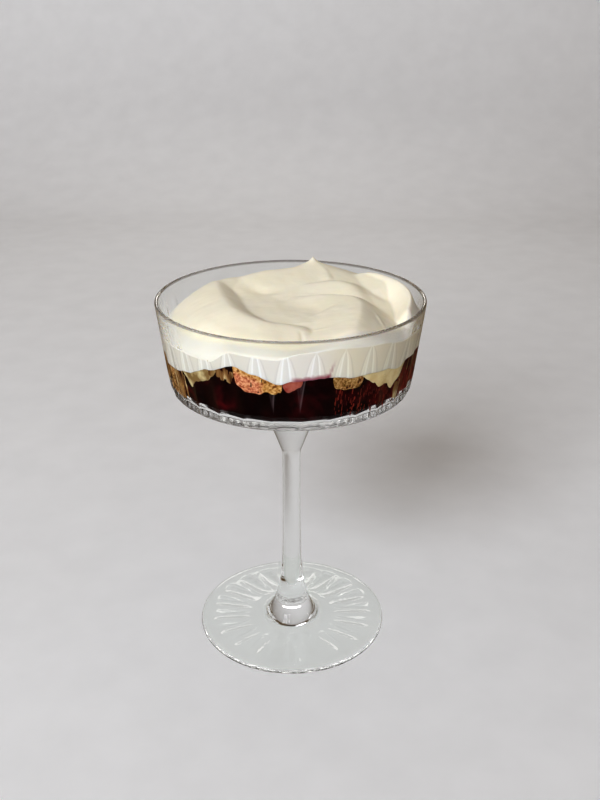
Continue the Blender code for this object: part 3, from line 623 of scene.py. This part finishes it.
def make_glass():
    """The coupe: its profile turned about Z on a fine grid, then pressed."""
    profile = glass_profile()
    azimuth = np.arange(GLASS_COLUMNS) * 360.0 / GLASS_COLUMNS + FLUTE_AZIMUTH
    radius = profile[:, :1] + 0.0 * azimuth
    z = profile[:, 1:] + 0.0 * azimuth
    radius, z = pressed(radius, z, azimuth + 0.0 * radius)
    mesh = grid_mesh("coupe_glass", turned_points(radius, z, azimuth + 0.0 * radius))
    add_piece("coupe_glass", mesh, pressed_glass(), "clear_glass", "glass")


def smooth_path(path, steps=6):
    """A way through given points, rounded as a Catmull-Rom curve."""
    path = np.array(path, float)
    padded = np.concatenate([2 * path[:1] - path[1:2], path, 2 * path[-1:] - path[-2:-1]])
    share = (np.arange(steps) / steps)[:, None]
    runs = []
    for before, start, end, after in zip(padded, padded[1:], padded[2:], padded[3:]):
        runs.append(0.5 * (2 * start + (end - before) * share
                           + (2 * before - 5 * start + 4 * end - after) * share ** 2
                           + (3 * start - before - 3 * end + after) * share ** 3))
    return np.concatenate(runs + [path[-1:]])


def nearest_on(x, y, way):
    """For points (x, y): distance to a way, which side of it they lie on (1 left to -1 right), the place
    along it from 0 to 1, and the way's own height there if it has one. Each is a mean over the way's short
    runs, weighted exponentially for the near ones, so that no crease follows where two runs are as near."""
    way = smooth_path(way)
    found = []
    for i, (start, end) in enumerate(zip(way, way[1:])):
        run = end - start
        length = math.hypot(run[0], run[1])
        share = np.clip(((x - start[0]) * run[0] + (y - start[1]) * run[1]) / length ** 2, 0.0, 1.0)
        off_x = x - start[0] - share * run[0]
        off_y = y - start[1] - share * run[1]
        distance = np.hypot(off_x, off_y)
        side = (run[0] * off_y - run[1] * off_x) / (length * np.maximum(distance, 1e-6))
        found.append((distance, side, (i + share) / (len(way) - 1), start[-1] + share * run[-1]))
    found = np.array(found)
    weight = np.exp((np.min(found[:, 0], axis=0) - found[:, 0]) / NEARNESS)
    return np.sum(found * weight[:, None], axis=0) / np.sum(weight, axis=0)


def lobe(x, y, left_slope, right_slope, rounding, way):
    """Height of one lobe of cream: a roof along its way, its crest rounded as a hyperbola."""
    distance, side, _, crest = nearest_on(x, y, way)
    slope = right_slope + (left_slope - right_slope) * (0.5 + 0.5 * side)
    return crest - slope * (np.sqrt(distance ** 2 + rounding ** 2) - rounding)


def mark(x, y, height, half_width, way):
    """Relief of a small mark of the spoon: a bell across its way, fading in and out along it."""
    distance, _, place, _ = nearest_on(x, y, way)
    return height * np.sin(np.pi * place) * np.exp(-(distance / half_width) ** 2)


def cream_height(share, azimuth):
    """Height of the cream's top at shares of the way to the glass. The lobes and the valley's floor meet in
    creases, as a soft maximum; a quarter ellipse takes them down to the glass."""
    brim = along(CREAM_BRIM, azimuth)
    edge = inner_wall(brim)
    radius = share * edge
    x = radius * np.sin(np.radians(azimuth))
    y = -radius * np.cos(np.radians(azimuth))
    heights = [VALLEY_HEIGHT - VALLEY_FALL * np.maximum(0.0, radius - VALLEY_EDGE)]
    heights += [lobe(x, y, *values) for values in LOBES]
    top = np.max(heights, axis=0)
    top = top + CREASE_SOFTNESS * np.log(sum(np.exp((h - top) / CREASE_SOFTNESS) for h in heights))
    top = top + sum(mark(x, y, *values) for values in MARKS)
    top = top + PEAK_HEIGHT * np.exp(-np.hypot(x - PEAK[0], y - PEAK[1]) / PEAK_WIDTH)
    ground = np.stack([x, y, 0.0 * x], -1)
    top = top + SWELL * layered(ground, 11.0, 81) + STREAK * layered(ground / (3.0, 1.0, 1.0), 1.6, 91, 2)
    inward = np.clip((edge - radius) / along(SHOULDER_WIDTH, azimuth), 0.0, 1.0)
    return brim + (top - brim) * np.sqrt(1.0 - (1.0 - inward) ** 2)


def make_cream():
    """Whipped cream: its top, its face on the glass down to an uneven foot, and a flat underside. Point
    colours say where it is pressed on the glass, where painted shade darkens its shoulder, and where juice
    has smeared it: at its foot round the front, and in a streak that runs up from there."""
    azimuth = np.arange(480) * 0.75
    share = 1.0 - (1.0 - np.linspace(0.0, 1.0, 120)[:, None]) ** 1.4
    brim = along(CREAM_BRIM, azimuth)
    top_z = cream_height(share, azimuth + 0.0 * share)
    top = turned_points(share * inner_wall(brim), top_z, azimuth + 0.0 * share)
    foot = along(CREAM_FOOT, azimuth)
    around = turned_points(46.0, 130.0, azimuth)
    foot = foot + 0.2 * layered(around, 4.0, 41) + 0.25 * layered(around, 1.6, 45)
    down = np.linspace(0.02, 1.0, 34)[:, None]
    side_z = brim + (foot - brim) * down
    side = turned_points(inner_wall(side_z) + CREAM_BITE, side_z, azimuth + 0.0 * down)
    inward = np.array([0.93, 0.6, 0.0])[:, None]
    under = turned_points(inner_wall(foot) * inward, foot + 0.0 * inward, azimuth + 0.0 * inward)
    mesh = grid_mesh("whipped_cream_cap", np.concatenate([top, side, under]))
    above_foot = side_z - foot
    smear_top = 2.0 + 1.0 * layered(side, 1.5, 61)
    edge_smear = eased(azimuth_from(azimuth, 9.0), 9.5, 6.0) * eased(above_foot, smear_top, 0.3)
    rise = (side_z - 131.0) / 8.5
    streak = eased(np.abs(azimuth - 15.4 - 3.4 * rise), 0.9, 0.2)
    streak = streak * eased(rise, 1.05, 0.3) * eased(rise, -0.2, 0.1)
    smeared = np.clip(0.85 * edge_smear + 0.75 * streak * (0.6 + 0.6 * layered(side, 1.2, 65)), 0.0, 1.0)
    add_tint(mesh, "smear", smeared, top, side, under)
    # The face on the glass gets the flutes' painted light and shade in the cream's material.
    add_tint(mesh, "on_glass", eased(down, 0.0, 0.06) + 0.0 * side_z, top, side, under)
    # Painted shade on the outer ring of the top, next to the glass.
    shoulder = eased(share, 0.92, 0.96) + 0.0 * top_z
    add_tint(mesh, "shoulder", 1.0 + 0.0 * side_z, top, side, under, shoulder)
    add_piece("whipped_cream_cap", mesh, whipped_cream(), "cream", "whipped_cream")


def add_tint(mesh, name, values, top, side, under, on_top=None):
    """Point colour on a bed: values on its side, others on its top if given, none on its underside."""
    columns = side.shape[1]
    first = np.zeros((top.shape[0] - 1) * columns + 1) if on_top is None else on_top.ravel()[columns - 1:]
    shares = np.concatenate([first, values.ravel(), np.zeros((under.shape[0] - 1) * columns + 1)])
    colours = np.repeat(shares[:, None], 4, axis=1)
    mesh.color_attributes.new(name, "FLOAT_COLOR", "POINT").data.foreach_set("color", colours.ravel())


def make_compote():
    """Compote: a level top under the other food, its face on the glass, and its underside, which stands off
    the glass by a hair, because thick glass mirrors there instead of showing what lies on it. A point
    colour marks the stretch at the front where the lands between the flutes get painted highlights."""
    azimuth = np.arange(240) * 1.5
    top_z = along(CREAM_FOOT, azimuth) + 1.0
    share = np.linspace(0.0, 1.0, 20)[:, None]
    level = 131.0 + (top_z - 131.0) * share ** 3
    top = turned_points(share * inner_wall(top_z), level, azimuth + 0.0 * share)
    down = np.linspace(0.0, 1.0, 24)[:, None]
    side_z = top_z + (WALL_FOOT - top_z) * down
    side = turned_points(inner_wall(side_z) + COMPOTE_BITE, side_z, azimuth + 0.0 * down)
    wall_foot = (inner_wall(WALL_FOOT) - FLOOR_GAP, WALL_FOOT - 0.3)
    low = FLOOR_HEIGHT + FLOOR_GAP
    fillet = bend((FLOOR_EDGE, low), (WALL_FOOT_RADIUS - 0.3 - FLOOR_GAP, low), wall_foot, 7)[::-1]
    floor = np.concatenate([fillet, [(30.0, low), (15.0, low), (0.0, low)]])
    floor = turned_points(floor[:, :1] + 0.0 * azimuth, floor[:, 1:] + 0.0 * azimuth, azimuth)
    mesh = grid_mesh("compote_bed", np.concatenate([top, side, floor]))
    # Painted highlights: where the lands between the flutes catch light.
    lands = eased(azimuth_from(azimuth, FLUTE_AZIMUTH), 12.0, 9.0) + 0.0 * side_z
    add_tint(mesh, "lands", lands, top, side, floor)
    add_piece("compote_bed", mesh, berry_compote(), "compote", "berry_compote")


def make_custard():
    """Custard: a thin layer under the cream. Where an arm of it reaches the glass it presses flat against
    it, down to an uneven edge with drips; elsewhere its rim stays short of the glass."""
    azimuth = np.arange(720) * 0.5
    reach = sum(eased(azimuth_from(azimuth, middle), half_width, 0.35 * half_width)
                for middle, half_width in CUSTARD_ARMS)
    top_z = along(CREAM_FOOT, azimuth) + 1.2
    around = turned_points(46.0, 125.0, azimuth)
    drips = 0.6 * layered(around, 2.6, 71) + 0.6 * layered(around, 1.1, 75)
    low_z = np.minimum(along(CUSTARD_FOOT, azimuth) + drips, top_z - 0.6)
    low_z = low_z * np.sqrt(reach) + (top_z - 0.6) * (1.0 - np.sqrt(reach))
    reach = eased(reach, 0.0, 0.04)
    share = np.array([0.0, 0.3, 0.6, 0.85])[:, None]
    top_edge = inner_wall(top_z) - 4.0 * (1.0 - reach)
    top = turned_points(share * top_edge, 131.5 + (top_z - 131.5) * share ** 3, azimuth + 0.0 * share)
    down = np.linspace(0.0, 1.0, 22)[:, None]
    side_z = top_z + (low_z - top_z) * down
    rounded = CUSTARD_BITE - 0.5 * eased(down, 0.9, 1.0) - 4.0 * (1.0 - reach)
    side = turned_points(inner_wall(side_z) + rounded, side_z, azimuth + 0.0 * down)
    inward = np.array([0.95, 0.6, 0.0])[:, None]
    under_z = low_z * inward ** 3 + 130.0 * (1.0 - inward ** 3)
    under = turned_points((inner_wall(low_z) - 4.0 * (1.0 - reach)) * inward, under_z, azimuth + 0.0 * inward)
    mesh = grid_mesh("custard_layer", np.concatenate([top, side, under]))
    add_piece("custard_layer", mesh, set_custard(), "custard", "custard")


def azimuth_from(azimuth, middle):
    """Degrees between azimuths and a middle, at most 180."""
    return np.abs((azimuth - middle + 180.0) % 360.0 - 180.0)


def wall_lump(edges, depth, bite, crumb, pit, seed):
    """Lump of food pressed on the glass, as a closed grid. Across, its section is a superellipse between
    its low and high edge, flat where it meets the glass; stations run along the glass between the first
    and last of its (azimuth, low, high) edges. Value noise of the crumb's size makes the outline ragged
    and eats pits into the face, which let what lies behind show."""
    first, last = edges[0][0], edges[-1][0]
    stations = max(10, int((last - first) * 2.6))
    share = np.linspace(0.0, 1.0, stations)[:, None]
    azimuth = first + (last - first) * share
    low = along([(stop[0], stop[1]) for stop in edges], azimuth)
    high = along([(stop[0], stop[2]) for stop in edges], azimuth)
    end = np.sqrt(np.clip(1.0 - np.abs(2.0 * share - 1.0) ** 8, 0.0, 1.0))
    turn = np.arange(56) / 56 * 2.0 * np.pi
    front = np.sign(np.cos(turn)) * np.abs(np.cos(turn)) ** 0.12
    up = np.sign(np.sin(turn)) * np.abs(np.sin(turn)) ** 0.45
    z = (low + high) / 2.0 + end * (high - low) / 2.0 * up
    face = inner_wall(z) + bite
    radius = face - 0.7 * (1.0 - end) - end * depth * (1.0 - front) / 2.0
    place = turned_points(radius, z, azimuth + 0.0 * z)
    ragged = layered(place, 1.8 * crumb, seed, 2)
    z = z + end * 0.45 * crumb * ragged * np.abs(up)
    place = turned_points(radius, z, azimuth + 0.0 * z)
    holes = eased(layered(place, 0.6 * crumb, seed + 9, 2), -0.46, -0.56)
    radius = np.minimum(radius - end * pit * holes, inner_wall(z) + bite)
    return closed_grid(turned_points(radius, z, azimuth + 0.0 * z))


def scattered_lumps(count, span, heights, width, height, bite, seed):
    """Small upright lumps on the glass, at random places of a span of azimuths and heights (low, high) and
    of random width in degrees and height, each a wall lump without pits."""
    draw = np.random.default_rng(seed)
    lumps = []
    for i in range(count):
        middle = draw.uniform(*span)
        low = draw.uniform(*heights)
        half = draw.uniform(*width) / 2.0
        high = low + draw.uniform(*height)
        edges = ((middle - half, low, high), (middle, low - 0.2, high + 0.2), (middle + half, low, high))
        lumps.append(wall_lump(edges, 1.2, bite, 0.9, 0.0, seed + i))
    return lumps


def make_sponge():
    """Broken sponge cake between the compote and the cream: a big crumb at the front and smaller ones
    round the glass, each with its own edges, shreds of it among the custard, and flecks of fruit."""
    golden = soaked_sponge("golden_soaked_sponge", ("#6A4220", "#A8763C", "#C89858", "#E0BE86"))
    brown = soaked_sponge("brown_soaked_sponge", ("#3A1E0C", "#7E5A2C", "#A67E48", "#C8A470"))
    for name, edges in SPONGES.items():
        mesh = new_mesh(name + "_crumb", [wall_lump(edges, 6.0, SPONGE_BITE, 1.1, 0.5, len(name) * 7)])
        add_soak(mesh, name == "sponge_front")
        add_piece(name + "_crumb", mesh, golden if name == "sponge_front" else brown, "sponge", name)
    shreds = scattered_lumps(24, (-35.5, -24.5), (128.5, 131.5), (1.0, 2.4), (2.0, 4.5), SHRED_BITE, 5)
    shreds += scattered_lumps(64, (-86, -54), (115.2, 124.5), (0.7, 1.8), (3.0, 9.0), SPONGE_BITE + 0.03, 11)
    shreds += scattered_lumps(10, (54, 58), (114.6, 119.0), (0.8, 1.6), (4.0, 8.0), SHRED_BITE, 17)
    shreds += scattered_lumps(9, (60, 84), (116.0, 127.0), (0.5, 1.0), (4.0, 9.0), SHRED_BITE, 19)
    add_piece("sponge_shreds", new_mesh("sponge_shreds", shreds), steeped_shreds(), "sponge")
    flecks = scattered_lumps(150, (19, 60), (114.4, 125.5), (0.3, 0.8), (0.5, 2.2), FLECK_BITE, 23)
    flecks += scattered_lumps(60, (57, 90), (114.6, 127.0), (0.5, 1.6), (2.0, 6.0), FLECK_BITE, 29)
    add_piece("fruit_flecks", new_mesh("fruit_flecks", flecks),
              stewed_fruit("stewed_fruit_flecks", "#480A0A", "#8E3020"), "fruit")


def add_soak(mesh, juicy):
    """Point colour of the share of juice in a sponge: most in the middle of a juicy one, little elsewhere."""
    place = np.empty(3 * len(mesh.vertices))
    mesh.vertices.foreach_get("co", place)
    x, y, z = place.reshape(-1, 3).T / MM
    azimuth = np.degrees(np.arctan2(x, -y))
    share = eased(azimuth, -24.0, -22.0) * eased(azimuth, -9.0, -14.0)
    share = share * eased(z - along(CREAM_FOOT, azimuth), -0.6, -2.2) * juicy
    colours = np.repeat(share[:, None], 4, axis=1)
    mesh.color_attributes.new("soak", "FLOAT_COLOR", "POINT").data.foreach_set("color", colours.ravel())


def make_fruit():
    """Lump of stewed fruit between the sponge at the front and the compote."""
    mesh = new_mesh("fruit_lump", [wall_lump(FRUIT_EDGES, 4.0, FRUIT_BITE, 2.0, 0.1, 3)])
    flesh = stewed_fruit("stewed_fruit_flesh", "#9A463C", "#BE7462")
    add_piece("fruit_lump", mesh, flesh, "fruit", "fruit_piece")


# ---------------------------------------------------------------- stage

def make_stage():
    """Pale floor that sweeps up behind the glass: flat, then a quarter circle, then a wall. The glass
    mirrors the dim room instead of it, as it would on a dark table."""
    bend_radius, back, half_width, front, wall, below = 0.35, 0.75, 2.5, -1.6, 2.2, 0.0001
    angle = np.linspace(0.0, math.pi / 2, 24)
    y = np.concatenate([[front], back + bend_radius * np.sin(angle), [back + bend_radius]])
    z = np.concatenate([[0.0], bend_radius * (1 - np.cos(angle)), [wall]]) - below
    x = np.array([-half_width, half_width])
    points = np.stack([x[None, :] + 0 * y[:, None], y[:, None] + 0 * x, z[:, None] + 0 * x], -1)
    faces = [(2 * i, 2 * i + 1, 2 * i + 3, 2 * i + 2) for i in range(len(y) - 1)]
    mesh = bpy.data.meshes.new("floor")
    mesh.from_pydata(points.reshape(-1, 3), [], faces)
    mesh.shade_smooth()
    mesh.materials.append(matte_floor())
    floor = bpy.data.objects.new("floor", mesh)
    floor.visible_glossy = False
    bpy.context.scene.collection.objects.link(floor)


def area_light(name, place, target, size, power, colour):
    """Rectangular soft light at a place, turned to a target."""
    data = bpy.data.lights.new(name, "AREA")
    data.shape = "RECTANGLE"
    data.size, data.size_y = size
    data.energy = power
    data.color = linear(colour)[:3]
    lamp = bpy.data.objects.new(name, data)
    lamp.location = place
    aim = np.array(target) - np.array(place)
    yaw = math.atan2(aim[1], aim[0]) - math.pi / 2
    pitch = math.atan2(aim[2], math.hypot(aim[0], aim[1])) + math.pi / 2
    lamp.rotation_euler = (pitch, 0.0, yaw)
    lamp.visible_camera = False
    bpy.context.scene.collection.objects.link(lamp)


def light_stage():
    """A tall soft window in front at the left, the warm dim light of the room, and narrow strips at the sides
    and behind, which only draw the edges of the glass."""
    area_light("window", (-0.77, -1.51, 1.19), (0, 0, 0.13), (0.85, 1.0), 40.3, "#F5F9FF")
    area_light("strip_left", (-0.85, -0.05, 0.45), (0, 0, 0.10), (0.05, 0.6), 0.8, "#FFFDF8")
    area_light("strip_right", (0.85, -0.10, 0.50), (0, 0, 0.10), (0.05, 0.6), 0.6, "#F4F8FF")
    area_light("strip_behind", (0.0, 0.85, 0.42), (0, 0, 0.0), (0.5, 0.05), 0.5, "#FFFDF8")
    world = bpy.data.worlds.new("room")
    world.use_nodes = True
    world.node_tree.nodes["Background"].inputs["Color"].default_value = linear("#FFD29A")
    world.node_tree.nodes["Background"].inputs["Strength"].default_value = 0.12
    bpy.context.scene.world = world
    bpy.context.scene.view_settings.view_transform = "Standard"
    bpy.context.scene.view_settings.gamma = 0.8
    bpy.context.scene.cycles.sample_clamp_indirect = 4.0
    bpy.context.scene.cycles.max_bounces = 24
    bpy.context.scene.cycles.glossy_bounces = 16
    bpy.context.scene.cycles.transmission_bounces = 24


def place_camera():
    """Camera above the rim's height, looking down on the glass from the front."""
    data = bpy.data.cameras.new("camera")
    data.lens = 41.8
    data.sensor_width = 36.0
    camera = bpy.data.objects.new("camera", data)
    camera.location = (0.0035, -0.3366, 0.2518)
    camera.rotation_euler = (math.radians(90.0 - 23.8), 0.0, 0.0)
    bpy.context.scene.collection.objects.link(camera)
    bpy.context.scene.camera = camera


place_camera()
light_stage()
make_stage()
make_glass()
make_compote()
make_custard()
make_sponge()
make_fruit()
make_cream()
